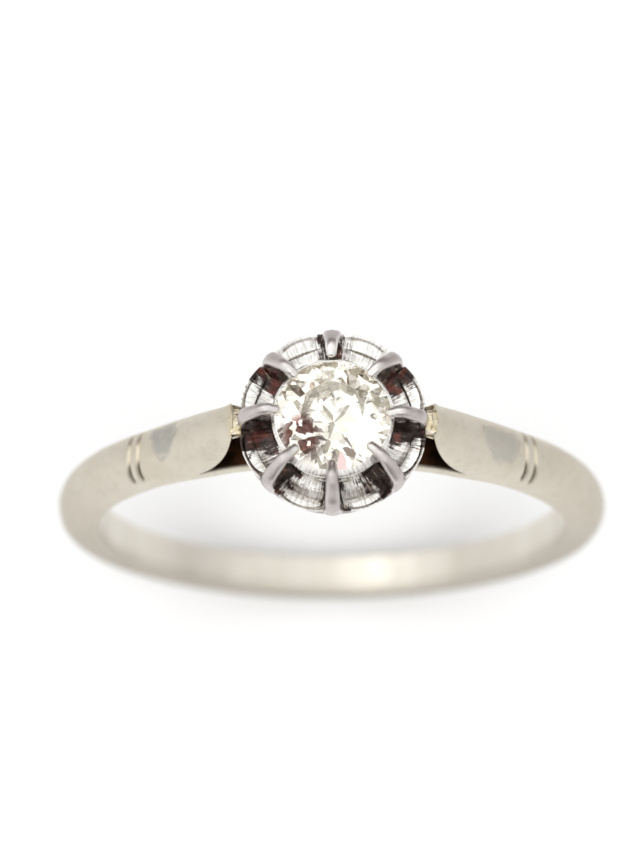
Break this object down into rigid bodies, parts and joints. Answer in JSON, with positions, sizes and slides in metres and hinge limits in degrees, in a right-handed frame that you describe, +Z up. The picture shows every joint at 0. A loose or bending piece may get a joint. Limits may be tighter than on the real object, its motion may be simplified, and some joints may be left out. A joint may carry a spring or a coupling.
{
  "type": "engagement ring",
  "caption": "Solitaire ring with a D-section hoop, split shoulders and a round faceted stone held by claws over a scalloped illusion cup.",
  "frame": {"origin": "lowest point of the hoop, in the middle of the band's width", "axes": "+Z up from the palm side of the hoop through the stone, +Y along the finger, X across the hoop from shoulder to shoulder"},
  "size_m": [0.0198, 0.0062, 0.0212],
  "materials": {
    "white_gold": "worn satin white gold, slightly warm, fine scratches",
    "claw_metal": "satin grey white gold, brightly worn at the tips",
    "polished_metal": "mirror polished with fine radial cutter lines",
    "solder_metal": "pale yellow solder, smooth and slightly pitted",
    "stone": "polished facets, near colourless with a faint warm tint"
  },
  "bodies": {
    "root": {"shank": "white_gold", "shoulder_left": "white_gold", "shoulder_right": "white_gold", "bridge": "white_gold", "base_ring": "claw_metal", "gallery_rail": "claw_metal", "illusion_plate": "polished_metal", "collet": "polished_metal", "claw_1": "claw_metal", "claw_2": "claw_metal", "claw_3": "claw_metal", "claw_4": "claw_metal", "claw_5": "claw_metal", "claw_6": "claw_metal", "claw_7": "claw_metal", "claw_8": "claw_metal", "diamond": "stone", "solder_left": "solder_metal", "solder_right": "solder_metal"}
  },
  "joints": []
}
